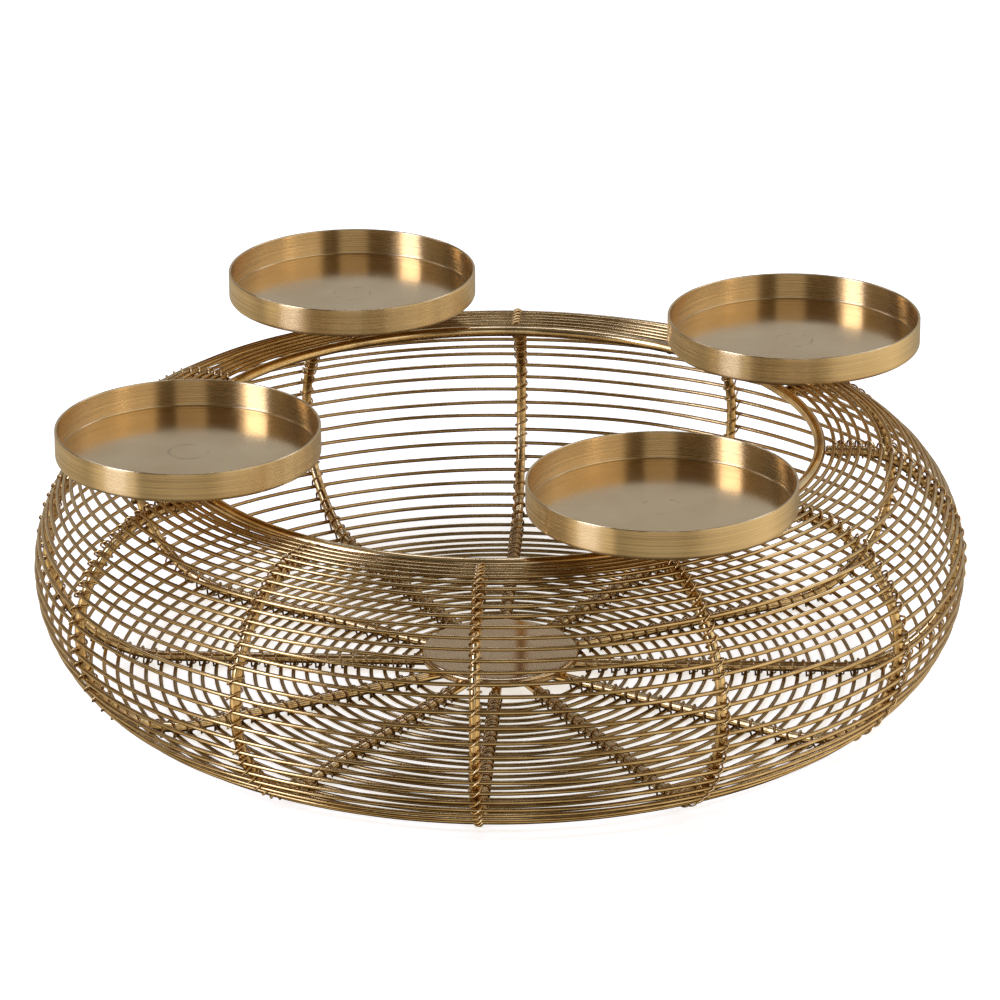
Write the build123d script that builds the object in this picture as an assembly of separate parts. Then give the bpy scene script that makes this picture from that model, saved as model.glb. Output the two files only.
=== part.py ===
"""Advent candle holder: a wreath-shaped wire bowl that carries four candle trays on short stems.

Millimetres and degrees, +Z up. The origin is on the table, under the middle of the bowl.
Twelve bent rods make the ribs. Thin wire rings lie on the outside of the ribs, and a fine binding wire
winds along each rib over the rings. The trays stand over every third rib.
"""

import os
from itertools import combinations
from math import cos, radians, sin, sqrt

from build123d import *

# Wires and rods
rib_diameter = 4.0
ring_diameter = 1.6
opening_rod_diameter = 4.4
lashing_diameter = 0.8
weld_gap = 0.1  # left between round pieces that are welded or lashed together

# Bowl, measured to the middle of the ring wires
bulge_center_radius = 131.0
bulge_radius = 49.4
shoulder_radius = 30.0
shoulder_start = 65.0  # angle above level where the bulge passes into the tighter shoulder
opening_inset = 7.0  # how far inside the middle of the bulge the opening lies

# Ribs and rings
rib_count = 12
spoke_end_radius = 12.0
lip_ring_count = 4
lip_ring_pitch = 3.2
shoulder_ring_count = 12
shoulder_ring_pitch = 4.33
side_ring_count = 11
lower_ring_count = 7  # rings that go on at the side's pitch, round the turn into the base
side_ring_pitch = 5.77
base_ring_pitch = 5.1
base_ring_zones = ("middle", "inner")

# Binding wire
lashing_loops = 24
lashing_side_slack = 0.6
lashing_crest_slack = 0.3
lashing_trough_slack = 0.2
lashing_step_slack = 0.4
lashing_groups = 4

# Base disc, a shallow cap turned open side down
disc_diameter = 61.4
disc_depth = 3.4
disc_sheet = 1.0
disc_edge_radius = 1.4

# Candle trays and their stems
tray_count = 4
tray_diameter = 100.0
tray_height = 11.5
tray_wall = 1.0
tray_floor = 1.0
tray_edge_radius = 1.6
tray_rim_radius = 0.3
stem_diameter = 6.0
stem_length = 15.4

rib_radius = rib_diameter / 2
ring_radius = ring_diameter / 2
opening_rod_radius = opening_rod_diameter / 2
lashing_radius = lashing_diameter / 2

# The rib's middle line runs inside the ring line, one stand-off away
stand_off = rib_radius + ring_radius + weld_gap
bulge_center_height = ring_radius + bulge_radius
shoulder_center_radius = bulge_center_radius + (bulge_radius - shoulder_radius) * cos(radians(shoulder_start))
shoulder_center_height = bulge_center_height + (bulge_radius - shoulder_radius) * sin(radians(shoulder_start))
shoulder_height = shoulder_center_height + shoulder_radius
spoke_height = ring_radius + stand_off

# Lengths of the ring line's level lip and arcs, and the run where it reaches the base disc
opening_radius = bulge_center_radius - opening_inset
shoulder_flat_run = shoulder_center_radius - opening_radius
shoulder_arc_run = shoulder_radius * radians(90 - shoulder_start)
bulge_arc_run = bulge_radius * radians(90 + shoulder_start)
disc_edge_run = shoulder_flat_run + shoulder_arc_run + bulge_arc_run + bulge_center_radius - disc_diameter / 2

# A stem stands on the crests of the binding wire, and a tray on its stem
stem_foot_height = shoulder_height + ring_radius + lashing_diameter + lashing_crest_slack + weld_gap
tray_underside_height = stem_foot_height + stem_length


def around(center_radius, center_height, radius, angle):
    """Point on an arc of the wall and the outward direction there, with the angle counted up from level."""
    outward = Vector(cos(radians(angle)), 0, sin(radians(angle)))
    return Vector(center_radius, 0, center_height) + outward * radius, outward


def wall_place(run):
    """Point on the ring line and the outward direction there, at a run counted from the opening."""
    if run < shoulder_flat_run:
        return Vector(opening_radius + run, 0, shoulder_height), Vector(0, 0, 1)
    run -= shoulder_flat_run
    if run < shoulder_arc_run:
        angle = 90 - run / shoulder_arc_run * (90 - shoulder_start)
        return around(shoulder_center_radius, shoulder_center_height, shoulder_radius, angle)
    run -= shoulder_arc_run
    if run < bulge_arc_run:
        angle = shoulder_start - run / bulge_arc_run * (90 + shoulder_start)
        return around(bulge_center_radius, bulge_center_height, bulge_radius, angle)
    run -= bulge_arc_run
    return Vector(bulge_center_radius - run, 0, ring_radius), Vector(0, 0, -1)


def ring(run):
    """One closed hoop of ring wire."""
    place, _ = wall_place(run)
    return Pos(0, 0, place.Z) * Torus(place.X, ring_radius)


def rib():
    """One rib over +X: spoke, bulge, shoulder and the level end that meets the opening rod from outside."""
    with BuildLine(Plane.XZ) as path:
        Line((spoke_end_radius, spoke_height), (bulge_center_radius, spoke_height))
        CenterArc(
            (bulge_center_radius, bulge_center_height), bulge_radius - stand_off, -90, 90 + shoulder_start
        )
        CenterArc(
            (shoulder_center_radius, shoulder_center_height),
            shoulder_radius - stand_off,
            shoulder_start,
            90 - shoulder_start,
        )
        Line(
            (shoulder_center_radius, shoulder_height - stand_off),
            (opening_radius + opening_rod_radius + weld_gap, shoulder_height - stand_off),
        )
    section = Plane(origin=path.line @ 0, z_dir=path.line % 0) * Circle(rib_radius)
    return sweep(section, path=path.line)


def opening_ring():
    """The rod hoop that edges the opening, its middle level with the tops of the ribs' ends."""
    return Pos(0, 0, shoulder_height - stand_off + rib_radius) * Torus(opening_radius, opening_rod_radius)


def lashing_points(runs):
    """Quarter-turn points of a binding wire on the rib over +X, one loop over each ring run but the last.

    The first and last points lie past the wire's ends and only give it its direction there.
    """
    half_width = rib_radius + lashing_radius + lashing_side_slack
    crest = ring_radius + lashing_radius + lashing_crest_slack
    trough = stand_off + rib_radius + lashing_radius + lashing_trough_slack
    step = ring_radius + lashing_radius + lashing_step_slack

    def point(run, outwards, sideways):
        place, outward = wall_place(run)
        return place + outward * outwards + Vector(0, sideways, 0)

    points = [point(runs[0] / 4, 0, -half_width), point(runs[0] / 2, -trough, 0)]
    for here, after in zip(runs, runs[1:]):
        points += [
            point(here - step, 0, half_width),
            point(here, crest, 0),
            point(here + step, 0, -half_width),
            point((here + after) / 2, -trough, 0),
        ]
    return points + [point(runs[-1] - step, 0, half_width)]


def biarc(start, start_way, end, end_way):
    """Two arcs that leave start and reach end along the given unit directions, tangent where they meet."""
    across = end - start
    both = start_way + end_way
    bend = 2 * (1 - start_way.dot(end_way))
    along = across.dot(both)
    reach = (sqrt(along**2 + bend * across.dot(across)) - along) / bend
    first_corner = start + start_way * reach
    second_corner = end - end_way * reach
    middle = (first_corner + second_corner) / 2
    return [
        TangentArc(start, middle, tangent=start_way),
        TangentArc(middle, end, tangent=second_corner - first_corner),
    ]


def lashing(runs):
    """One unbroken binding wire on the rib over +X, and its least gap to itself."""
    points = lashing_points(runs)
    ways = [(after - before).normalized() for before, after in zip(points, points[2:])]
    stops = list(zip(points[1:], ways))
    lead_in = points[1] - ways[0] * lashing_diameter
    lead_out = points[-2] + ways[-1] * lashing_diameter
    edges = [Line(lead_in, points[1])]
    for here, after in zip(stops, stops[1:]):
        edges += biarc(*here, *after)
    edges.append(Line(points[-2], lead_out))
    section = Plane(origin=lead_in, z_dir=ways[0]) * Circle(lashing_radius)
    return sweep(section, path=Wire(edges)), least_gap(edges)


def least_gap(edges):
    """Least distance between stretches of the wire half a turn or more apart, less one wire diameter."""
    half_turn = 4  # arcs
    marks = [edge @ share for edge in edges for share in (0, 0.5)]
    numbered = list(enumerate(marks))
    return min(
        (there - here).length
        for (i, here), (j, there) in combinations(numbered, 2)
        if j - i >= 2 * half_turn
    ) - lashing_diameter


def base_disc():
    """The shallow cap over the inner ends of the ribs, whose skirt stands on the spokes."""
    outer = disc_diameter / 2
    foot = spoke_height + rib_radius + weld_gap
    with BuildPart() as cap:
        with BuildSketch(Plane.XZ) as half_section:
            with BuildLine():
                Polyline(
                    (0, foot + disc_depth - disc_sheet),
                    (outer - disc_sheet, foot + disc_depth - disc_sheet),
                    (outer - disc_sheet, foot),
                    (outer, foot),
                    (outer, foot + disc_depth),
                    (0, foot + disc_depth),
                    close=True,
                )
            make_face()
            shoulder = half_section.vertices().group_by(Axis.X)[-1].sort_by(Axis.Y)[-1]
            fillet(shoulder, disc_edge_radius)
        revolve(axis=Axis.Z)
    return cap.part


def candle_tray():
    """One dish with a low upright wall, over the origin, its underside at the trays' height."""
    outer = tray_diameter / 2
    inner = outer - tray_wall
    low = tray_underside_height
    with BuildPart() as dish:
        with BuildSketch(Plane.XZ) as half_section:
            with BuildLine():
                Polyline(
                    (0, low),
                    (outer, low),
                    (outer, low + tray_height),
                    (inner, low + tray_height),
                    (inner, low + tray_floor),
                    (0, low + tray_floor),
                    close=True,
                )
            make_face()
            fillet(half_section.vertices().group_by(Axis.Y)[-1], min(tray_rim_radius, 0.4 * tray_wall))
            fillet(half_section.vertices().group_by(Axis.Y)[0].sort_by(Axis.X)[-1], tray_edge_radius)
        revolve(axis=Axis.Z)
    return dish.part


def tray_stem():
    """The stud under a tray's middle, which stands on the lashed rings over a rib."""
    upright = (Align.CENTER, Align.CENTER, Align.MIN)
    return Pos(0, 0, stem_foot_height) * Cylinder(stem_diameter / 2, stem_length, align=upright)


def turned(shape, count):
    """Copies of a shape at even angles about the bowl's middle."""
    return [Rot(0, 0, 360 / count * i) * shape for i in range(count)]


def runs_after(run, pitch, count):
    """Runs of evenly spaced rings, the first of them one pitch past the given run."""
    return [run + pitch * (i + 1) for i in range(count)]


def shared_out(items, groups):
    """The items in order, split into groups of nearly one size."""
    return [items[len(items) * i // groups : len(items) * (i + 1) // groups] for i in range(groups)]


def save(name, *solids):
    """Write one node, of one solid or of a group of separate solids."""
    export_step(solids[0] if len(solids) == 1 else Compound(children=list(solids)), f"parts/{name}.step")


def main():
    os.makedirs("parts", exist_ok=True)

    lip_runs = runs_after(opening_rod_radius, lip_ring_pitch, lip_ring_count)
    shoulder_runs = lip_runs + runs_after(lip_runs[-1], shoulder_ring_pitch, shoulder_ring_count)
    side_runs = runs_after(shoulder_runs[-1], side_ring_pitch, side_ring_count)
    lower_runs = runs_after(side_runs[-1], side_ring_pitch, lower_ring_count)
    base_ring_count = int((disc_edge_run - lower_runs[-1]) / base_ring_pitch)
    base_runs = runs_after(lower_runs[-1], base_ring_pitch, base_ring_count)

    for i, run in enumerate(shoulder_runs, 1):
        save(f"shoulder_ring_{i:02}", ring(run))
    for i, run in enumerate(side_runs, 1):
        save(f"side_ring_{i:02}", ring(run))
    save("base_rings_outer", *[ring(run) for run in lower_runs])
    for zone, runs in zip(base_ring_zones, shared_out(base_runs, len(base_ring_zones))):
        save(f"base_rings_{zone}", *[ring(run) for run in runs])

    save("opening_ring", opening_ring())
    for i, solid in enumerate(turned(rib(), rib_count), 1):
        save(f"rib_{i:02}", solid)

    wire, gap = lashing((shoulder_runs + side_runs)[: lashing_loops + 1])
    print(f"Least gap of a lashing to itself: {gap:.2f} mm")
    for i, wires in enumerate(shared_out(turned(wire, rib_count), lashing_groups), 1):
        save(f"rib_lashings_{i}", *wires)

    save("base_disc", base_disc())
    tray_place = Pos(bulge_center_radius, 0, 0)
    for i, solid in enumerate(turned(tray_place * candle_tray(), tray_count), 1):
        save(f"candle_tray_{i}", solid)
    for i, solid in enumerate(turned(tray_place * tray_stem(), tray_count), 1):
        save(f"tray_stem_{i}", solid)


main()
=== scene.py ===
"""Looks of a wire advent candle holder: lashed wire bowl, four candle trays, base disc and a plain studio.

Everything is in metres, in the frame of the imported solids: origin on the table under the bowl, +Z up.
"""

import logging
from dataclasses import dataclass, field
from enum import Enum

import bpy
import numpy as np
from mathutils import Matrix, Vector


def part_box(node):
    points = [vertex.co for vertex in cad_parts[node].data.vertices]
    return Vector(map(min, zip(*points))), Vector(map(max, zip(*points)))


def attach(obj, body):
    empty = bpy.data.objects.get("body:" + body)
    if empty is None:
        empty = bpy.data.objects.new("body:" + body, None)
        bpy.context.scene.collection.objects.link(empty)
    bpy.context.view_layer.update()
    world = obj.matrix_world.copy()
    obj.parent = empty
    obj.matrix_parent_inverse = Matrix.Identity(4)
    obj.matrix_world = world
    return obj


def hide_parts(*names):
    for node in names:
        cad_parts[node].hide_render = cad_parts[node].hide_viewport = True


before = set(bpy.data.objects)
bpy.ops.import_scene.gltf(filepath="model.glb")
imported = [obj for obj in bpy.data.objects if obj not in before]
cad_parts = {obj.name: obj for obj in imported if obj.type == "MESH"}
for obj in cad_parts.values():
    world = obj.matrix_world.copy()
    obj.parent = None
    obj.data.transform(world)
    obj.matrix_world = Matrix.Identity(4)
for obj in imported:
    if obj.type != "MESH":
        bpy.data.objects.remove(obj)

Array = np.ndarray
Pair = tuple[float, float]
Triple = tuple[float, float, float]
Color = Triple
Levels = tuple[Pair, ...]
Socket = bpy.types.NodeSocket

MM = 0.001
SEED = 24
NOISE_RANGE = (0.3, 0.7)  # part of a noise's range that is stretched to full contrast
LOG = logging.getLogger("candle_holder")


class Slot(Enum):
    """Names of the record's material slots."""

    ROD = "rod"
    RING = "ring_wire"
    BINDING = "binding_wire"
    TRAY = "tray_sheet"
    DISC = "disc_sheet"


class Graph:
    """A material's or world's node tree, with short calls that add and join nodes."""

    def __init__(self, tree: bpy.types.NodeTree) -> None:
        """Empty the tree."""
        self.tree = tree
        tree.nodes.clear()

    def add(self, kind: str, inputs: dict | None = None, **settings: object) -> bpy.types.Node:
        """Add a node.

        Args:
            kind: node type without its ShaderNode prefix.
            inputs: socket name or number to a value, or to an output socket that is linked in.
            settings: node properties.

        Returns:
            The new node.
        """
        node = self.tree.nodes.new("ShaderNode" + kind)
        for key, value in settings.items():
            setattr(node, key, value)
        for key, value in (inputs or {}).items():
            if isinstance(value, Socket):
                self.tree.links.new(value, node.inputs[key])
            else:
                node.inputs[key].default_value = value
        return node

    def math(self, operation: str, first: object, second: object) -> Socket:
        """One sum, product or other operation on two sockets or numbers."""
        return self.add("Math", {0: first, 1: second}, operation=operation).outputs[0]

    def ramp(self, value: Socket, low: float, high: float, first: float, last: float) -> Socket:
        """Carry a value from the range low to high to the range first to last, clamped."""
        inputs = {"Value": value, "From Min": low, "From Max": high, "To Min": first, "To Max": last}
        return self.add("MapRange", inputs).outputs[0]

    def blend(self, share: Socket, first: object, second: object) -> Socket:
        """Blend two colours or colour sockets.

        Args:
            share: the second colour's share.
            first: colour at share 0.
            second: colour at share 1.

        Returns:
            Colour socket.
        """
        colors = [c if isinstance(c, Socket) else (*c, 1.0) for c in (first, second)]
        return self.add("Mix", {0: share, 6: colors[0], 7: colors[1]}, data_type="RGBA").outputs[2]

    def scaled(self, vector: Socket, scale: Triple) -> Socket:
        """A coordinate scaled along its axes."""
        return self.add("Mapping", {"Vector": vector, "Scale": scale}).outputs[0]

    def noise(self, vector: Socket, scale: float, detail: float) -> Socket:
        """Fractal noise from 0 to 1, with a number of cells per unit and of octaves."""
        return self.add("TexNoise", {"Vector": vector, "Scale": scale, "Detail": detail}).outputs[0]

    def close(self, shader: bpy.types.Node, kind: str = "OutputMaterial") -> None:
        """Join the last shader to the output."""
        self.add(kind, {"Surface": shader.outputs[0]})


def new_material(name: str) -> tuple[bpy.types.Material, Graph]:
    """Make a material.

    Args:
        name: its name.

    Returns:
        The material and its emptied node tree.
    """
    material = bpy.data.materials.new(name)
    material.use_nodes = True
    return material, Graph(material.node_tree)


@dataclass(frozen=True)
class WireFinish:
    """Plated wire or rod: drawn lines along it, blotches of tone, dark patina and painted shade near the
    table.

    The patina lies where the wire was lashed. Where the wire lies low, near the table, painted shade blends
    it towards the patina's colour. Its pieces carry a UV map named wire, in metres along and around the
    wire, and a point attribute named patina.
    """

    name: str
    bright: Color
    dull: Color
    patina: Color
    patina_share: float
    roughness: Pair
    line_depth: float
    # painted shade near the table: its strength, and the heights between which it fades out
    painted_low_shade: float = 0.45
    painted_low_shade_heights: Pair = (3.5 * MM, 8.0 * MM)
    patina_roughness: float = 0.2
    lines_per_metre: Pair = (60.0, 3200.0)
    line_strength: float = 0.35
    blotches_per_metre: float = 130.0
    blotch_range: Pair = (0.35, 0.68)
    flecks_per_metre: float = 900.0
    fleck_gain: Pair = (0.4, 1.2)

    def material(self) -> bpy.types.Material:
        """Build the material.

        Returns:
            The material.
        """
        material, graph = new_material(self.name)
        place = graph.add("TexCoord").outputs["Object"]
        height = graph.add("SeparateXYZ", {0: place}).outputs[2]
        drawn = graph.scaled(graph.add("UVMap", uv_map="wire").outputs[0], (*self.lines_per_metre, 1.0))
        lines = graph.noise(drawn, 1.0, 2.0)
        blotch = graph.ramp(graph.noise(place, self.blotches_per_metre, 2.0), *self.blotch_range, 0.0, 1.0)
        fleck = graph.ramp(graph.noise(place, self.flecks_per_metre, 2.0), *NOISE_RANGE, *self.fleck_gain)
        worn = graph.math("MULTIPLY", graph.add("Attribute", attribute_name="patina").outputs["Fac"], fleck)
        share = graph.ramp(worn, 0.0, 1.0, 0.0, self.patina_share)
        tone = graph.blend(share, graph.blend(blotch, self.bright, self.dull), self.patina)
        # painted shade: low down, the colour is blended towards the patina's, standing in for the shade
        # under the bowl
        low = graph.ramp(height, *self.painted_low_shade_heights, self.painted_low_shade, 0.0)
        color = graph.blend(low, tone, self.patina)
        clean_rough = graph.ramp(lines, *NOISE_RANGE, *self.roughness)
        rough = graph.math("ADD", clean_rough, graph.ramp(share, 0.0, 1.0, 0.0, self.patina_roughness))
        relief = {"Height": lines, "Strength": self.line_strength, "Distance": self.line_depth}
        bump = graph.add("Bump", relief)
        inputs = {"Base Color": color, "Metallic": 1.0, "Roughness": rough, "Normal": bump.outputs[0]}
        graph.close(graph.add("BsdfPrincipled", inputs))
        return material


@dataclass(frozen=True)
class SheetFinish:
    """Plated sheet brushed while it turned: lines round its wall, a satin flat and a weld's heat mark.

    Its pieces carry a UV map named turn, in turns round the axis and metres along the section, and a point
    attribute named middle with the distance from the piece's axis. Inside the flat's radius there are no
    lines.
    """

    name: str
    bright: Color
    dull: Color
    wall_roughness: Pair
    flat_roughness: Pair
    flat_radius: float
    lines_per_metre: float
    line_depth: float
    anisotropy: float
    mark_radius: float
    flat_edge: float = 0.6 * MM
    lines_per_turn: float = 5.0
    line_strength: float = 0.3
    line_shade: float = 0.6
    fine_range: Pair = (0.42, 0.7)
    fine_share: float = 0.38
    coarse_scale: Triple = (0.6, 0.22, 1.0)
    coarse_range: Pair = (0.35, 0.75)
    coarse_share: float = 0.2
    blotches_per_metre: float = 45.0
    mark_shade: float = 0.4
    mark_edges: Pair = (0.85, 1.1)  # where the mark starts and ends, in its radius
    mark_patches_per_metre: float = 220.0
    mark_patch_range: Pair = (0.48, 0.6)
    mark_share: float = 0.45

    def material(self) -> bpy.types.Material:
        """Build the material.

        Returns:
            The material.
        """
        material, graph = new_material(self.name)
        place = graph.add("TexCoord").outputs["Object"]
        distance = graph.add("Attribute", attribute_name="middle").outputs["Fac"]
        on_wall = graph.ramp(distance, self.flat_radius - self.flat_edge, self.flat_radius, 0.0, 1.0)
        line_scale = (self.lines_per_turn, self.lines_per_metre, 1.0)
        brushed = graph.scaled(graph.add("UVMap", uv_map="turn").outputs[0], line_scale)
        fine = graph.noise(brushed, 1.0, 4.0)
        coarse = graph.noise(graph.scaled(brushed, self.coarse_scale), 1.0, 2.0)
        blotch = graph.ramp(graph.noise(place, self.blotches_per_metre, 4.0), *NOISE_RANGE, 0.0, 1.0)
        coarse_lines = graph.ramp(coarse, *self.coarse_range, 0.0, self.coarse_share)
        fine_lines = graph.ramp(fine, *self.fine_range, 0.0, self.fine_share)
        lined = graph.math("MULTIPLY", graph.math("ADD", coarse_lines, fine_lines), on_wall)
        line_color = tuple(self.line_shade * c for c in self.dull)
        tone = graph.blend(lined, graph.blend(blotch, self.bright, self.dull), line_color)
        mark_start, mark_end = (self.mark_radius * edge for edge in self.mark_edges)
        inside = graph.ramp(distance, mark_start, self.mark_radius, 0.0, 1.0)
        outside = graph.ramp(distance, self.mark_radius, mark_end, 1.0, 0.0)
        patches = graph.noise(place, self.mark_patches_per_metre, 3.0)
        patchy = graph.ramp(patches, *self.mark_patch_range, 0.0, self.mark_share)
        mark = graph.math("MULTIPLY", graph.math("MULTIPLY", inside, outside), patchy)
        color = graph.blend(mark, tone, tuple(self.mark_shade * c for c in self.dull))
        wall_rough = graph.ramp(fine, *NOISE_RANGE, *self.wall_roughness)
        flat_rough = graph.ramp(blotch, 0.0, 1.0, *self.flat_roughness)
        rough = graph.add("Mix", {0: on_wall, 2: flat_rough, 3: wall_rough}).outputs[0]
        lines = graph.math("MULTIPLY", fine, on_wall)
        relief = {"Height": lines, "Strength": self.line_strength, "Distance": self.line_depth}
        bump = graph.add("Bump", relief)
        inputs = {
            "Base Color": color,
            "Metallic": 1.0,
            "Roughness": rough,
            "Anisotropic": graph.ramp(on_wall, 0.0, 1.0, 0.0, self.anisotropy),
            "Anisotropic Rotation": 0.25,  # a quarter turn, across the brush lines
            "Tangent": graph.add("Tangent", direction_type="UV_MAP", uv_map="turn").outputs[0],
            "Normal": bump.outputs[0],
        }
        graph.close(graph.add("BsdfPrincipled", inputs))
        return material


@dataclass(frozen=True)
class FloorFinish:
    """Pale matt studio floor, lit from within a little, as a light table is."""

    color: Color
    glow_color: Color
    glow: float
    roughness: float = 0.9
    gloss: float = 0.1

    def material(self) -> bpy.types.Material:
        """Build the material.

        Returns:
            The material.
        """
        material, graph = new_material("studio_floor")
        inputs = {
            "Base Color": (*self.color, 1.0),
            "Roughness": self.roughness,
            "Specular IOR Level": self.gloss,
            "Emission Color": (*self.glow_color, 1.0),
            "Emission Strength": self.glow,
        }
        graph.close(graph.add("BsdfPrincipled", inputs))
        return material


def unit(vectors: Array) -> Array:
    """Vectors of length one along the given ones."""
    return vectors / np.linalg.norm(vectors, axis=-1, keepdims=True)


def turn_about_axis(points: Array, angle: float) -> Array:
    """Points or directions turned by an angle about the bowl's upright axis."""
    return points @ np.array(Matrix.Rotation(angle, 3, "Z")).T


@dataclass
class Surface:
    """A grid of points with its UV map and point values, which becomes a smooth-shaded object.

    Face (i, j) joins points (i, j), (i + 1, j), (i + 1, j + 1) and (i, j + 1). Columns always close on
    themselves. Rows close as well, or else the first and last row are each drawn together to one point.
    """

    name: str
    grid: Array
    uv_name: str
    uv: Array
    value_name: str
    values: Array
    rows_close: bool

    def build(self) -> bpy.types.Object:
        """Make the object and link it to the scene.

        The corner numbers of all faces are one array. Corners of a face that meet at a pole count once.

        Returns:
            The object.
        """
        rows, columns = self.grid.shape[:2]
        number = np.arange(rows * columns).reshape(rows, columns)
        if not self.rows_close:
            number[0], number[-1] = number[0, 0], number[-1, 0]
        bands = rows if self.rows_close else rows - 1
        i, j = np.meshgrid(np.arange(bands), np.arange(columns), indexing="ij")
        steps = [(0, 0), (1, 0), (1, 1), (0, 1)]
        corners = np.stack([number[(i + a) % rows, (j + b) % columns] for a, b in steps], axis=-1)
        corners = corners.reshape(-1, 4)
        uv = np.stack([self.uv[i + a, j + b] for a, b in steps], axis=2).reshape(-1, 4, 2)
        kept = corners != np.roll(corners, 1, axis=1)
        used, loops = np.unique(corners[kept], return_inverse=True)
        counts = kept.sum(axis=1)
        mesh = bpy.data.meshes.new(self.name)
        mesh.vertices.add(len(used))
        mesh.vertices.foreach_set("co", self.grid.reshape(-1, 3)[used].astype(np.float32).ravel())
        mesh.loops.add(len(loops))
        mesh.loops.foreach_set("vertex_index", loops.astype(np.int32))
        mesh.polygons.add(len(counts))
        mesh.polygons.foreach_set("loop_start", (np.cumsum(counts) - counts).astype(np.int32))
        mesh.update(calc_edges=True)
        mesh.polygons.foreach_set("use_smooth", np.ones(len(counts), bool))
        mesh.uv_layers.new(name=self.uv_name).data.foreach_set("uv", uv[kept].astype(np.float32).ravel())
        values = self.values.reshape(-1)[used].astype(np.float32)
        mesh.attributes.new(self.value_name, "FLOAT", "POINT").data.foreach_set("value", values)
        thing = bpy.data.objects.new(self.name, mesh)
        bpy.context.scene.collection.objects.link(thing)
        return thing


def tube(
    name: str, path: Array, side: Array, radius: float, facets: int, patina: Array, closed: bool
) -> Surface:
    """Carry a circle along a path.

    At each path point the circle's axes are the path's direction crossed with the side vector, and that
    crossed with the direction. An open tube's ends are rounded off: a quarter radius from its end the circle
    is whole, at the end it has three quarters of its radius, and then it closes to a point.

    Args:
        name: name of the piece.
        path: points along the tube, n by 3.
        side: vectors that are never along the path, n by 3.
        radius: radius of the tube.
        facets: faces round the tube.
        patina: dark patina at the path points, from 0 to 1, n.
        closed: whether the path closes on itself.

    Returns:
        The surface.
    """
    reach = np.full(len(path), radius)
    if closed:
        ahead = unit(np.roll(path, -1, axis=0) - np.roll(path, 1, axis=0))
    else:
        ahead = unit(np.gradient(path, axis=0))
        inset, end_radius = 0.25 * radius, 0.75 * radius
        inner = path[[0, -1]] + ahead[[0, -1]] * np.array([[inset], [-inset]])
        path = np.concatenate([path[[0, 0]], inner[:1], path[1:-1], inner[1:], path[[-1, -1]]])
        side, ahead, patina = (np.concatenate([v[[0, 0]], v, v[[-1, -1]]]) for v in (side, ahead, patina))
        reach = np.concatenate([[0.0, end_radius], reach, [end_radius, 0.0]])
    first = unit(np.cross(ahead, side))
    second = np.cross(first, ahead)
    angle = np.arange(facets) * 2 * np.pi / facets
    circle = np.cos(angle)[None, :, None] * first[:, None] + np.sin(angle)[None, :, None] * second[:, None]
    grid = path[:, None] + circle * reach[:, None, None]
    steps = np.linalg.norm(np.diff(np.concatenate([path, path[:1]]), axis=0), axis=1)
    along = np.concatenate([[0.0], np.cumsum(steps)])
    around = np.linspace(0.0, 2 * np.pi * radius, facets + 1)
    uv = np.stack(np.broadcast_arrays(along[:, None], around[None, :]), axis=-1)
    return Surface(name, grid, "wire", uv, "patina", np.repeat(patina[:, None], facets, 1), closed)


def turned(name: str, section: Array, center: Array, steps: int) -> Surface:
    """Turn a half section round an upright axis.

    Args:
        name: name of the piece.
        section: radius and height along the section, from the axis on top to the axis underneath.
        center: x and y of the axis.
        steps: points round a full turn.

    Returns:
        The surface.
    """
    angle = np.arange(steps) * 2 * np.pi / steps
    radius = np.repeat(section[:, :1], steps, 1)
    height = np.repeat(section[:, 1:], steps, 1)
    x, y = center[0] + radius * np.cos(angle), center[1] + radius * np.sin(angle)
    grid = np.stack([x, y, height], axis=-1)
    along = np.concatenate([[0.0], np.cumsum(np.linalg.norm(np.diff(section, axis=0), axis=1))])
    uv = np.stack(np.broadcast_arrays(np.linspace(0.0, 1.0, steps + 1)[None, :], along[:, None]), axis=-1)
    return Surface(name, grid, "turn", uv, "middle", radius, False)


def arc(center: Pair, radius: float, start: float, end: float, points: int) -> Array:
    """Points of an arc in the plane of radius and height, its angles in degrees counted up from level."""
    angle = np.radians(np.linspace(start, end, points))
    return np.array(center) + radius * np.stack([np.cos(angle), np.sin(angle)], axis=-1)


def line(start: Pair, end: Pair, points: int) -> Array:
    """Evenly spaced points of a straight line in the plane of radius and height."""
    return np.linspace(start, end, points)


def dress(surface: Surface, material: bpy.types.Material, node: str) -> None:
    """Build a piece, give it its material, and let it stand for a solid of the frame.

    Args:
        surface: the piece's surface.
        material: its material.
        node: the node that it replaces.
    """
    thing = surface.build()
    thing.data.materials.append(material)
    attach(thing, "root")
    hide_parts(node)
    LOG.info("%s: %d faces, stands for %s", thing.name, len(thing.data.polygons), node)


def nodes_named(start: str) -> list[str]:
    """Names of the frame's nodes that begin with the given words, in order."""
    return sorted(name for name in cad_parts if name.startswith(start))


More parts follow.
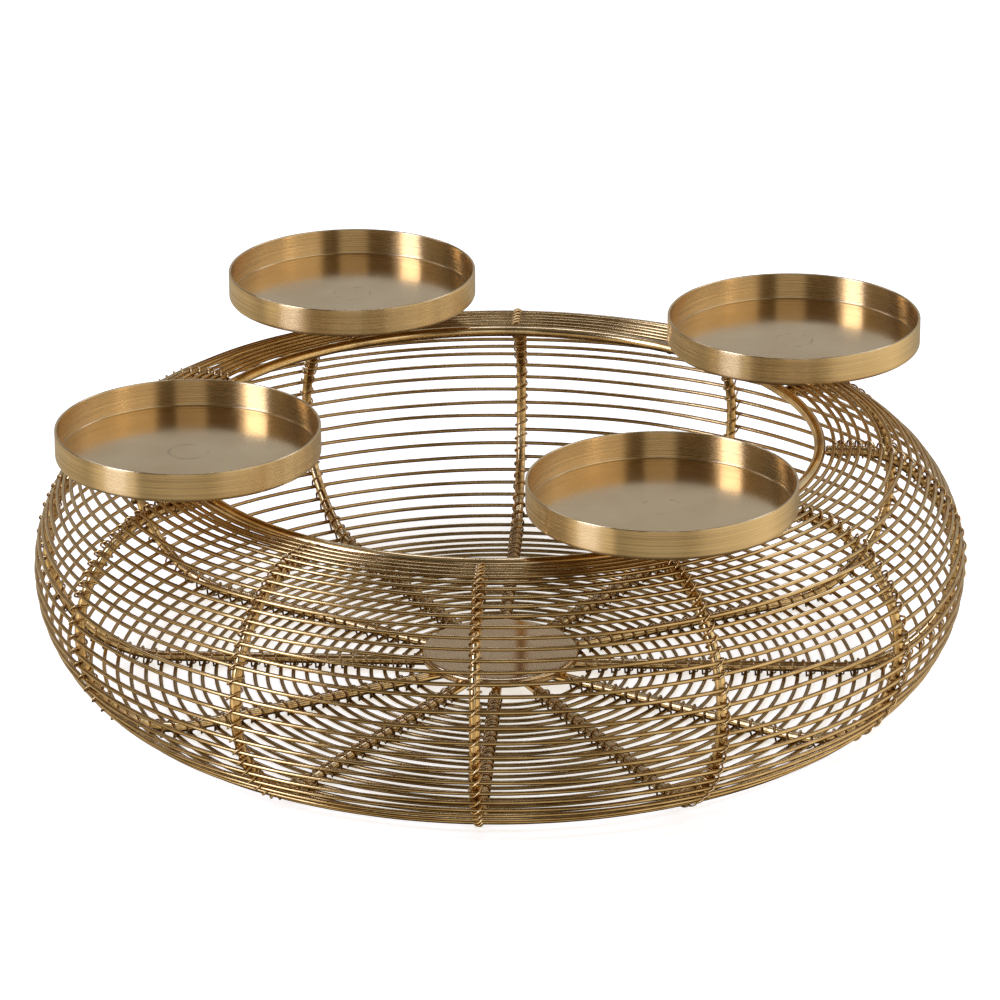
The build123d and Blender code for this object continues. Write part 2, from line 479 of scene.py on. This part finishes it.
@dataclass(frozen=True)
class WallLine:
    """Middle line of the ring wires, from the opening to the base, in the plane of radius and height.

    It is a level lip, a tight shoulder arc, the bulge's arc and the level base.
    """

    base_height: float = 0.8 * MM
    bulge_center: float = 131.0 * MM
    bulge_radius: float = 49.4 * MM
    shoulder_radius: float = 30.0 * MM
    shoulder_start: float = np.radians(65.0)
    opening_inset: float = 7.0 * MM

    def bends(self) -> Array:
        """Runs where the shoulder arc, the bulge's arc and the base begin.

        Returns:
            The three distances along the line from the opening.
        """
        lip = self.opening_inset + (self.bulge_radius - self.shoulder_radius) * np.cos(self.shoulder_start)
        shoulder_arc = self.shoulder_radius * (np.pi / 2 - self.shoulder_start)
        bulge_arc = self.bulge_radius * (np.pi / 2 + self.shoulder_start)
        return np.cumsum([lip, shoulder_arc, bulge_arc])

    def place(self, run: Array) -> tuple[Array, Array]:
        """Points on the line and the outward directions there.

        The angle of the outward direction is worked out from the run, and the point lies one radius along it
        from the arc's centre, or straight along the lip or the base.

        Args:
            run: distances along the line from the opening, n.

        Returns:
            Radius and height, n by 2, and the outward unit vectors in the same plane, n by 2.
        """
        run = np.atleast_1d(np.asarray(run, float))
        bends = self.bends()
        lift = self.bulge_radius - self.shoulder_radius
        lean = np.array([np.cos(self.shoulder_start), np.sin(self.shoulder_start)])
        bulge = np.array([self.bulge_center, self.base_height + self.bulge_radius])
        shoulder = bulge + lift * lean
        on_shoulder = np.pi / 2 - (run - bends[0]) / self.shoulder_radius
        on_bulge = self.shoulder_start - (run - bends[1]) / self.bulge_radius
        stretch = np.searchsorted(bends, run, side="right")
        up = np.full_like(run, np.pi / 2)
        angle = np.choose(stretch, [up, on_shoulder, on_bulge, -up])
        outward = np.stack([np.cos(angle), np.sin(angle)], axis=-1)
        onward = np.array([1.0, 0.0])
        points = np.choose(
            stretch[:, None],
            [
                shoulder + self.shoulder_radius * outward + (run - bends[0])[:, None] * onward,
                shoulder + self.shoulder_radius * outward,
                bulge + self.bulge_radius * outward,
                bulge + self.bulge_radius * outward - (run - bends[2])[:, None] * onward,
            ],
        )
        return points, outward


def off_rib(angle: Array, ribs: int) -> Array:
    """Angles to the nearest rib, for ribs at even angles from +X."""
    return np.abs((angle * ribs / (2 * np.pi) + 0.5) % 1.0 - 0.5) * 2 * np.pi / ribs


@dataclass
class RingWires:
    """Thin hoops on the outside of the ribs, closest at the opening and widest apart on the side."""

    wall: WallLine
    rib_count: int
    radius: float = 0.8 * MM
    rod_radius: float = 2.2 * MM
    lip_pitch: float = 3.2 * MM
    lip_count: int = 4
    shoulder_pitch: float = 4.33 * MM
    side_pitch: float = 5.77 * MM
    lower_count: int = 7
    base_pitch: float = 5.1 * MM
    sway: float = 0.45 * MM
    out_share: float = 0.5
    still_height: float = 8.0 * MM
    patina_reach: float = 3.5 * MM
    steps: int = 288
    facets: int = 8
    random: np.random.Generator = field(default_factory=lambda: np.random.default_rng(SEED))

    def __post_init__(self) -> None:
        """Set the runs of the frame's single rings, and of the base rings that fit up to the base disc."""
        shoulder = nodes_named("shoulder_ring_")
        self.names = shoulder + nodes_named("side_ring_")
        pitches = np.full(len(self.names) + self.lower_count, self.side_pitch)
        pitches[: len(shoulder)] = self.shoulder_pitch
        pitches[: self.lip_count] = self.lip_pitch
        wall_runs = self.rod_radius + np.cumsum(pitches)
        disc_edge_run = self.wall.bends()[2] + self.wall.bulge_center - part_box("base_disc")[1].x
        base_count = int((disc_edge_run - wall_runs[-1]) / self.base_pitch)
        base_runs = wall_runs[-1] + self.base_pitch * np.arange(1, base_count + 1)
        self.runs = np.concatenate([wall_runs, base_runs])

    def zones(self) -> dict[str, Array]:
        """Runs of the grouped rings: the turn into the base, and the base's two halves.

        Returns:
            Runs by zone, with the zones' names from the frame's nodes.
        """
        grouped = self.runs[len(self.names) :]
        half = (len(grouped) - self.lower_count) // 2
        outer, middle, inner = np.split(grouped, [self.lower_count, self.lower_count + half])
        return {"outer": outer, "middle": middle, "inner": inner}

    def hoop(self, name: str, run: float) -> Surface:
        """One ring, which sways a little along and out of the wall between the ribs.

        The sway is the squared sine of a half turn from rib to rib, times an amount drawn for each span, so
        that it and its slope are nil at the ribs. Near the table a ring doesn't sway out or down, and no
        ring sways out past the widest one.

        Args:
            name: name of the piece.
            run: the ring's run along the wall line.

        Returns:
            The surface.
        """
        (place,), (outward,) = self.wall.place(run)
        angle = np.arange(self.steps) * 2 * np.pi / self.steps
        span = (angle * self.rib_count / (2 * np.pi)).astype(int)
        amounts = self.random.uniform(-1.0, 1.0, (2, self.rib_count))[:, span]
        amounts *= self.sway * np.sin(angle * self.rib_count / 2) ** 2
        out = self.out_share * amounts[1] * np.clip(place[1] / self.still_height - 1, 0.0, 1.0)
        radius = np.minimum(place[0] + amounts[0] * outward[1] + out * outward[0], self.widest())
        height = np.maximum(place[1] - amounts[0] * outward[0] + out * outward[1], self.wall.base_height)
        path = np.stack([radius * np.cos(angle), radius * np.sin(angle), height], axis=-1)
        patina = np.exp(-((off_rib(angle, self.rib_count) * radius / self.patina_reach) ** 2))
        upright = np.broadcast_to([0.0, 0.0, 1.0], path.shape)
        return tube(name, path, upright, self.radius, self.facets, patina, True)

    def widest(self) -> float:
        """Radius of the widest ring's middle line."""
        return float(self.wall.place(self.runs)[0][:, 0].max())

    def build(self, material: bpy.types.Material) -> None:
        """Make every ring, the base rings zone by zone as the frame has them.

        Args:
            material: finish of the ring wire.
        """
        for name, run in zip(self.names, self.runs):
            dress(self.hoop(name.replace("_ring_", "_hoop_"), run), material, name)
        for zone, runs in self.zones().items():
            for k, run in enumerate(runs, 1):
                dress(self.hoop(f"base_hoop_{zone}_{k}", run), material, f"base_rings_{zone}")


@dataclass
class RibRods:
    """Twelve bent rods inside the rings, and the rod hoop at their ends that edges the opening."""

    wall: WallLine
    rings: RingWires
    radius: float = 2.0 * MM
    weld_gap: float = 0.1 * MM
    spoke_end: float = 12.0 * MM
    ring_patina_reach: float = 1.4 * MM
    rib_patina_reach: float = 5.0 * MM
    bend_points: int = 150
    spoke_points: int = 70
    facets: int = 14

    def stand_off(self) -> float:
        """Distance from the wall line in to a rib's middle line."""
        return self.radius + self.rings.radius + self.weld_gap

    def rib(self, name: str, angle: float) -> Surface:
        """One rib: its middle line follows the wall line one stand-off inside it, darker beside the rings.

        Args:
            name: name of the piece.
            angle: the rib's angle about the bowl's axis.

        Returns:
            The surface.
        """
        base = self.wall.bends()[2]
        end = base + self.wall.bulge_center - self.spoke_end
        bent = np.linspace(self.rings.rod_radius + self.weld_gap, base, self.bend_points)
        run = np.concatenate([bent, np.linspace(base, end, self.spoke_points)[1:]])
        place, outward = self.wall.place(run)
        place = place - outward * self.stand_off()
        path = np.stack([place[:, 0], np.zeros_like(run), place[:, 1]], axis=-1)
        nearest = np.abs(run[:, None] - self.rings.runs).min(axis=1)
        across = np.broadcast_to([0.0, 1.0, 0.0], path.shape)
        path, across = turn_about_axis(path, angle), turn_about_axis(across, angle)
        patina = np.exp(-((nearest / self.ring_patina_reach) ** 2))
        return tube(name, path, across, self.radius, self.facets, patina, False)

    def opening_rod(self) -> Surface:
        """The rod hoop that edges the opening, a plain circle, darker where it meets the ribs.

        Returns:
            The surface.
        """
        low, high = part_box("opening_ring")
        radius = high.x - self.rings.rod_radius
        angle = np.arange(self.rings.steps) * 2 * np.pi / self.rings.steps
        height = np.full_like(angle, (low.z + high.z) / 2)
        path = np.stack([radius * np.cos(angle), radius * np.sin(angle), height], axis=-1)
        patina = np.exp(-((off_rib(angle, self.rings.rib_count) * radius / self.rib_patina_reach) ** 2))
        upright = np.broadcast_to([0.0, 0.0, 1.0], path.shape)
        return tube("opening_rod", path, upright, self.rings.rod_radius, self.facets, patina, True)

    def build(self, material: bpy.types.Material) -> None:
        """Make the ribs and the opening rod.

        Args:
            material: finish of the rods.
        """
        for i in range(self.rings.rib_count):
            angle = 2 * np.pi * i / self.rings.rib_count
            dress(self.rib(f"bent_rib_{i + 1:02}", angle), material, f"rib_{i + 1:02}")
        dress(self.opening_rod(), material, "opening_ring")


@dataclass
class BindingWires:
    """One fine wire on each rib that winds over every ring."""

    wall: WallLine
    rings: RingWires
    ribs: RibRods
    radius: float = 0.4 * MM
    side_slack: float = 0.05 * MM
    side_scatter: float = 0.16 * MM
    crossing_width: float = 1.4 * MM
    crest_slack: float = 0.05 * MM
    crest_scatter: float = 0.15 * MM
    trough_slack: float = 0.05 * MM
    step_slack: float = 0.2 * MM
    step_scatter: Pair = (0.9, 1.2)
    step_limit: float = 0.44
    tail_clearances: float = 3.0
    patina_level: float = 0.55
    patina_swing: float = 0.5
    half_turn_points: int = 10
    facets: int = 6
    random: np.random.Generator = field(default_factory=lambda: np.random.default_rng(SEED + 1))

    def wire(self, name: str, angle: float) -> Surface:
        """One binding wire, unevenly wound.

        Each loop has a front half turn, half an ellipse that crosses slantwise over its ring, and a back
        half turn. That one leans out along a straight line to the rib's flank, goes half round the rib's
        back and leans in again along a straight line on the other side, while its run passes on to the next
        ring along half a cosine wave. The wire is darker behind the rib than in front.

        Args:
            name: name of the piece.
            angle: the rib's angle about the bowl's axis.

        Returns:
            The surface.
        """
        runs = self.rings.runs
        count = len(runs)
        clear = self.rings.radius + self.radius
        room = np.diff(runs, append=runs[-1] + self.tail_clearances * clear)
        step = (clear + self.step_slack) * self.random.uniform(*self.step_scatter, count)
        step = np.minimum(step, self.step_limit * room)
        flank = self.ribs.radius + self.radius
        wide = flank + self.side_slack + self.random.uniform(0.0, self.side_scatter, count)
        crest = clear + self.crest_slack + self.random.uniform(0.0, self.crest_scatter, count)
        lean = flank - self.crossing_width

        turn = np.linspace(-np.pi / 2, np.pi / 2, self.half_turn_points, endpoint=False)
        front_side = (lean - wide)[:, None] * np.sin(turn)
        front_out = crest[:, None] * np.cos(turn)
        front_run = runs[:, None] + step[:, None] * np.sin(turn)

        share = np.linspace(0.0, 1.0, self.half_turn_points, endpoint=False)
        wide_after, step_after = np.roll(wide, -1), np.roll(step, -1)
        wide_here = wide[:, None] + (wide_after - wide)[:, None] * share
        depth = self.ribs.stand_off()
        length = (2 * depth + np.pi * wide_here) * share
        bend = np.clip((length - depth) / wide_here, 0.0, np.pi)
        past = np.maximum(length - depth - np.pi * wide_here, 0.0)
        drawn_in = lean * (np.clip(1 - length / depth, 0.0, 1.0) - np.clip(past / depth, 0.0, 1.0))
        back_side = -wide_here * np.cos(bend) + drawn_in
        back_out = -np.minimum(length, depth) - (wide_here + self.trough_slack) * np.sin(bend) + past
        start_run, end_run = runs + step, np.append(runs[1:], runs[-1] + room[-1]) - step_after
        back_run = start_run[:, None] + (end_run - start_run)[:, None] * (1 - np.cos(np.pi * share)) / 2

        run = np.stack([front_run, back_run], axis=1).ravel()
        side = np.stack([front_side, back_side], axis=1).ravel()
        out = np.stack([front_out, back_out], axis=1).ravel()
        place, outward = self.wall.place(run)
        spot = place + outward * out[:, None]
        path = np.stack([spot[:, 0], side, np.maximum(spot[:, 1], self.radius)], axis=-1)
        along = np.stack([outward[:, 1], np.zeros_like(run), -outward[:, 0]], axis=-1)
        in_front = np.stack([np.cos(turn), -np.sin(np.pi * share)])
        patina = np.tile(np.clip(self.patina_level - self.patina_swing * in_front.ravel(), 0.0, 1.0), count)
        path, along = turn_about_axis(path, angle), turn_about_axis(along, angle)
        last = len(run) - self.half_turn_points // 2
        return tube(name, path[:last], along[:last], self.radius, self.facets, patina[:last], False)

    def build(self, material: bpy.types.Material) -> None:
        """Make the wires, which stand for the frame's groups of neighbouring wires.

        Args:
            material: finish of the binding wire.
        """
        groups = nodes_named("rib_lashings_")
        count = self.rings.rib_count
        for i in range(count):
            wire = self.wire(f"binding_wire_{i + 1:02}", 2 * np.pi * i / count)
            dress(wire, material, groups[i * len(groups) // count])


@dataclass
class CandleTrays:
    """Four dishes with a low upright wall, on stems that are welded under their middles."""

    wall: float = 1.0 * MM
    floor: float = 1.0 * MM
    edge_radius: float = 1.6 * MM
    rim_radius: float = 0.42 * MM
    crease_radius: float = 0.5 * MM
    weld_bead: float = 0.7 * MM
    stem_chamfer: float = 0.3 * MM
    steps: int = 240
    stem_steps: int = 40
    floor_points: int = 28
    wall_points: int = 8
    under_points: int = 16
    bend_points: int = 6
    edge_points: int = 8
    stem_points: int = 4
    side_points: int = 6

    def dish(self, name: str, node: str) -> Surface:
        """One dish: floor, crease, inner wall, rounded rim, outer wall, rounded lower edge and underside.

        Args:
            name: name of the piece.
            node: the node whose box it fills.

        Returns:
            The surface.
        """
        low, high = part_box(node)
        outer = (high.x - low.x) / 2
        inner, floor = outer - self.wall, low.z + self.floor
        edge, rim, crease = self.edge_radius, self.rim_radius, self.crease_radius
        section = np.concatenate(
            [
                line((0.0, floor), (inner - crease, floor), self.floor_points)[:-1],
                arc((inner - crease, floor + crease), crease, -90, 0, self.bend_points),
                line((inner, floor + crease), (inner, high.z - rim), self.wall_points)[1:-1],
                arc((inner + rim, high.z - rim), rim, 180, 90, self.bend_points),
                arc((outer - rim, high.z - rim), rim, 90, 0, self.bend_points),
                line((outer, high.z - rim), (outer, low.z + edge), self.wall_points)[1:-1],
                arc((outer - edge, low.z + edge), edge, 0, -90, self.edge_points),
                line((outer - edge, low.z), (0.0, low.z), self.under_points)[1:],
            ]
        )
        return turned(name, section, np.array([low.x + high.x, low.y + high.y]) / 2, self.steps)

    def stem(self, name: str, node: str) -> Surface:
        """One stem: a stud with a chamfered foot and a hollow-cornered weld bead under the dish.

        Args:
            name: name of the piece.
            node: the node whose box it fills.

        Returns:
            The surface.
        """
        low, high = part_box(node)
        radius, bead, chamfer = (high.x - low.x) / 2, self.weld_bead, self.stem_chamfer
        section = np.concatenate(
            [
                line((0.0, high.z), (radius + bead, high.z), self.stem_points),
                arc((radius + bead, high.z - bead), bead, 90, 180, self.bend_points)[1:],
                line((radius, high.z - bead), (radius, low.z + chamfer), self.side_points)[1:],
                line((radius - chamfer, low.z), (0.0, low.z), self.stem_points),
            ]
        )
        return turned(name, section, np.array([low.x + high.x, low.y + high.y]) / 2, self.stem_steps)

    def build(self, sheet: bpy.types.Material) -> None:
        """Make the dishes and the stems.

        Args:
            sheet: finish of both.
        """
        for node in nodes_named("candle_tray_"):
            dress(self.dish(node.replace("candle_tray", "dish"), node), sheet, node)
        for node in nodes_named("tray_stem_"):
            dress(self.stem(node.replace("tray_stem", "stud"), node), sheet, node)


@dataclass
class BaseDisc:
    """The shallow cap over the inner ends of the ribs."""

    sheet: float = 1.0 * MM
    edge_radius: float = 1.4 * MM
    lip_chamfer: float = 0.2 * MM
    steps: int = 160
    top_points: int = 20
    edge_points: int = 8
    skirt_points: int = 4
    under_points: int = 12

    def cap(self, name: str, node: str) -> Surface:
        """The cap: smooth top, rounded edge, skirt and the hollow under it.

        Args:
            name: name of the piece.
            node: the node whose box it fills.

        Returns:
            The surface.
        """
        low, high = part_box(node)
        outer, edge, lip = high.x, self.edge_radius, self.lip_chamfer
        inner, under = outer - self.sheet, high.z - self.sheet
        section = np.concatenate(
            [
                line((0.0, high.z), (outer - edge, high.z), self.top_points)[:-1],
                arc((outer - edge, high.z - edge), edge, 90, 0, self.edge_points),
                line((outer, high.z - edge), (outer, low.z + lip), self.skirt_points)[1:],
                line((outer - lip, low.z), (inner + lip, low.z), 2),
                line((inner, low.z + lip), (inner, under - lip), self.skirt_points),
                line((inner - lip, under), (0.0, under), self.under_points),
            ]
        )
        return turned(name, section, np.zeros(2), self.steps)

    def build(self, material: bpy.types.Material) -> None:
        """Make the cap.

        Args:
            material: its finish.
        """
        dress(self.cap("base_cap", "base_disc"), material, "base_disc")


@dataclass(frozen=True)
class SoftBox:
    """A rectangular light that faces the bowl."""

    name: str
    bearing: float  # degrees to the left of the camera
    rise: float  # degrees above level
    away: float  # distance from the bowl
    size: Pair  # width and height
    level: float  # brightness of its face, where a white sheet in full light has 1


@dataclass
class Studio:
    """Plain pale floor, soft light and the photograph's camera.

    Each zone's levels are degrees to the right of the camera and the level there. Its rises are the sines of
    the angles above level between which the zone below passes into it.
    """

    azimuth: float = np.radians(-26.96)
    elevation: float = np.radians(21.72)
    distance: float = 2.0764
    target_height: float = 78.06 * MM
    focal_pixels: float = 5343.3
    center_pixels: Pair = (499.5, 486.0)
    roll: float = np.radians(-0.244)
    image_pixels: float = 1000.0
    sensor: float = 36.0
    clip: Pair = (0.05, 100.0)
    floor_size: float = 14.0
    floor_drop: float = 0.2 * MM
    floor_finish: FloorFinish = FloorFinish((0.93, 0.93, 0.93), (0.95, 0.91, 0.84), 0.75)
    lamp_aim_height: float = 60.0 * MM
    lamps: tuple[SoftBox, ...] = (
        SoftBox("key", 61.0, 25.0, 2.2, (0.75, 1.6), 9.0),
        SoftBox("back_left", 140.0, 48.0, 2.4, (1.1, 0.5), 4.0),
        SoftBox("back_right", 220.0, 48.0, 2.4, (1.1, 0.5), 5.0),
        SoftBox("top", 180.0, 62.0, 2.2, (0.9, 0.35), 6.0),
    )
    ceiling: Color = (0.22, 0.19, 0.155)
    below: Color = (0.04, 0.03, 0.02)
    lamp_tint: Color = (0.53, 0.625, 0.96)
    wall_tint: Color = (0.9, 0.955, 1.07)
    upper_tint: Color = (1.0, 0.95, 0.84)
    table_tint: Color = (1.0, 0.9, 0.7)
    table_rises: Pair = (-0.75, -0.5)
    wall_rises: Pair = (0.08, 0.26)
    upper_rises: Pair = (0.48, 0.6)
    ceiling_rises: Pair = (0.86, 0.93)
    wall_levels: Levels = (
        (-180.0, 0.54),
        (-155.0, 0.4),
        (-125.0, 0.1),
        (-76.0, 0.14),
        (-44.0, 0.02),
        (-16.0, 0.02),
        (-11.0, 0.9),
        (12.0, 0.9),
        (15.0, 0.02),
        (28.0, 0.02),
        (34.0, 1.3),
        (100.0, 1.25),
        (140.0, 0.6),
        (180.0, 0.54),
    )
    upper_levels: Levels = (
        (-180.0, 0.1),
        (-120.0, 0.15),
        (-90.0, 0.75),
        (-50.0, 0.08),
        (20.0, 0.08),
        (50.0, 0.9),
        (90.0, 1.0),
        (120.0, 0.2),
        (180.0, 0.1),
    )
    table_levels: Levels = (
        (-180.0, 0.35),
        (-150.0, 0.6),
        (-110.0, 0.65),
        (-92.0, 0.5),
        (-80.0, 1.05),
        (-44.0, 1.05),
        (-40.0, 0.5),
        (-20.0, 0.63),
        (20.0, 0.63),
        (50.0, 0.95),
        (100.0, 1.1),
        (140.0, 0.55),
        (180.0, 0.35),
    )

    def camera(self) -> None:
        """Stand the camera on its bearing from the bowl, turned so that the target falls on its pixel."""
        flat = np.cos(self.elevation)
        away = np.array([np.sin(self.azimuth) * flat, -np.cos(self.azimuth) * flat, np.sin(self.elevation)])
        right = unit(np.cross(-away, [0.0, 0.0, 1.0]))
        above = np.cross(right, -away)
        offset = (self.image_pixels / 2 - np.array(self.center_pixels)) / self.focal_pixels
        aim = -away + offset[0] * right - offset[1] * above
        data = bpy.data.cameras.new("camera")
        data.sensor_width = self.sensor
        data.lens = self.focal_pixels * self.sensor / self.image_pixels
        data.clip_start, data.clip_end = self.clip
        thing = bpy.data.objects.new("camera", data)
        bpy.context.scene.collection.objects.link(thing)
        place = Matrix.Translation(Vector((0.0, 0.0, self.target_height)) + Vector(away) * self.distance)
        level = Vector(aim).to_track_quat("-Z", "Y").to_matrix().to_4x4()
        thing.matrix_world = place @ level @ Matrix.Rotation(self.roll, 4, "Z")
        bpy.context.scene.camera = thing

    def floor(self) -> None:
        """One large level sheet just under the object, which the metal doesn't mirror."""
        half = self.floor_size / 2
        mesh = bpy.data.meshes.new("floor")
        square = ((-half, -half), (half, -half), (half, half), (-half, half))
        mesh.from_pydata([(x, y, -self.floor_drop) for x, y in square], [], [(0, 1, 2, 3)])
        mesh.materials.append(self.floor_finish.material())
        thing = bpy.data.objects.new("floor", mesh)
        thing.visible_glossy = False
        bpy.context.scene.collection.objects.link(thing)

    def lamp(self, box: SoftBox) -> None:
        """Hang one soft box, turned to the bowl.

        Args:
            box: the soft box.
        """
        light = bpy.data.lights.new(box.name, "AREA")
        light.shape = "RECTANGLE"
        light.size, light.size_y = box.size
        light.color = self.lamp_tint
        light.energy = box.level * np.pi * box.size[0] * box.size[1]
        turn, lift = self.azimuth - np.radians(box.bearing), np.radians(box.rise)
        out = Vector((np.sin(turn) * np.cos(lift), -np.cos(turn) * np.cos(lift), np.sin(lift)))
        thing = bpy.data.objects.new(box.name, light)
        bpy.context.scene.collection.objects.link(thing)
        facing = (-out).to_track_quat("-Z", "Y").to_matrix().to_4x4()
        aim = Vector((0.0, 0.0, self.lamp_aim_height))
        thing.matrix_world = Matrix.Translation(out * box.away + aim) @ facing

    def panorama(self, graph: Graph, bearing: Socket, levels: Levels, tint: Color) -> Socket:
        """Light levels all round.

        Args:
            graph: the world's node tree.
            bearing: bearing from 0 to 1, with the camera at a half and its right hand side above that.
            levels: degrees to the right of the camera, and the level there.
            tint: colour of level 1.

        Returns:
            Colour socket.
        """
        ramp = graph.add("ValToRGB", {"Fac": bearing})
        stops = ramp.color_ramp.elements
        ready = len(stops)
        for k, (degrees, level) in enumerate(levels):
            position = 0.5 + degrees / 360
            stop = stops[k] if k < ready else stops.new(position)
            stop.position = position
            stop.color = (*(level * c for c in tint), 1.0)
        return ramp.outputs[0]

    def room(self) -> None:
        """Make the room: dim ceiling, walls in two heights, table with lighter stretches, and dark below."""
        world = bpy.data.worlds.new("room")
        world.use_nodes = True
        graph = Graph(world.node_tree)
        way = graph.add("TexCoord").outputs["Generated"]
        turned_way = graph.add("Mapping", {"Vector": way, "Rotation": (0.0, 0.0, np.pi / 2 - self.azimuth)})
        split = graph.add("SeparateXYZ", {0: turned_way.outputs[0]})
        angle = graph.math("ARCTAN2", split.outputs[1], split.outputs[0])
        bearing = graph.ramp(angle, -np.pi, np.pi, 0.0, 1.0)
        rise = split.outputs[2]
        table = self.panorama(graph, bearing, self.table_levels, self.table_tint)
        walls = self.panorama(graph, bearing, self.wall_levels, self.wall_tint)
        upper = self.panorama(graph, bearing, self.upper_levels, self.upper_tint)
        color = graph.blend(graph.ramp(rise, *self.table_rises, 0.0, 1.0), self.below, table)
        color = graph.blend(graph.ramp(rise, *self.wall_rises, 0.0, 1.0), color, walls)
        color = graph.blend(graph.ramp(rise, *self.upper_rises, 0.0, 1.0), color, upper)
        color = graph.blend(graph.ramp(rise, *self.ceiling_rises, 0.0, 1.0), color, self.ceiling)
        graph.close(graph.add("Background", {"Color": color, "Strength": 1.0}), "OutputWorld")
        bpy.context.scene.world = world
        bpy.context.scene.view_settings.view_transform = "Standard"

    def build(self) -> None:
        """Make floor, room, lights and camera."""
        self.floor()
        self.room()
        for box in self.lamps:
            self.lamp(box)
        self.camera()


def main() -> None:
    """Build the pieces in order, then the studio."""
    logging.basicConfig(level=logging.INFO, format="%(message)s")
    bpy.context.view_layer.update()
    rod = WireFinish(
        "antique_gold_rod",
        bright=(0.88, 0.63, 0.31),
        dull=(0.68, 0.455, 0.195),
        patina=(0.10, 0.054, 0.018),
        patina_share=0.5,
        roughness=(0.1, 0.18),
        line_depth=0.006 * MM,
        # only a little painted shade near the table on the rods
        painted_low_shade=0.05,
    )
    ring_wire = WireFinish(
        "satin_gold_wire",
        bright=(0.665, 0.45, 0.195),
        dull=(0.495, 0.315, 0.122),
        patina=(0.10, 0.054, 0.016),
        patina_share=0.45,
        roughness=(0.12, 0.21),
        line_depth=0.004 * MM,
    )
    binding_wire = WireFinish(
        "dark_gold_wire",
        bright=(0.88, 0.63, 0.31),
        dull=(0.62, 0.40, 0.17),
        patina=(0.09, 0.048, 0.016),
        patina_share=0.42,
        roughness=(0.06, 0.12),
        line_depth=0.003 * MM,
        # strong painted shade near the table on the binding wire
        painted_low_shade=0.6,
    )
    brushed_sheet = SheetFinish(
        "brushed_gold_sheet",
        bright=(0.745, 0.546, 0.29),
        dull=(0.675, 0.474, 0.237),
        wall_roughness=(0.18, 0.34),
        flat_roughness=(0.15, 0.2),
        flat_radius=48.6 * MM,
        lines_per_metre=2600.0,
        line_depth=0.04 * MM,
        anisotropy=1.0,
        mark_radius=7.5 * MM,
    )
    polished_sheet = SheetFinish(
        "polished_gold_sheet",
        bright=(0.78, 0.56, 0.31),
        dull=(0.71, 0.49, 0.25),
        wall_roughness=(0.12, 0.2),
        flat_roughness=(0.08, 0.12),
        flat_radius=30.0 * MM,
        lines_per_metre=1800.0,
        line_depth=0.01 * MM,
        anisotropy=0.3,
        mark_radius=1.0 * MM,
    )

    wall = WallLine()
    rings = RingWires(wall, rib_count=12)
    ribs = RibRods(wall, rings)
    rings.build(ring_wire.material())
    ribs.build(rod.material())
    BindingWires(wall, rings, ribs).build(binding_wire.material())
    CandleTrays().build(brushed_sheet.material())
    BaseDisc().build(polished_sheet.material())
    Studio().build()


if __name__ == "__main__":
    main()
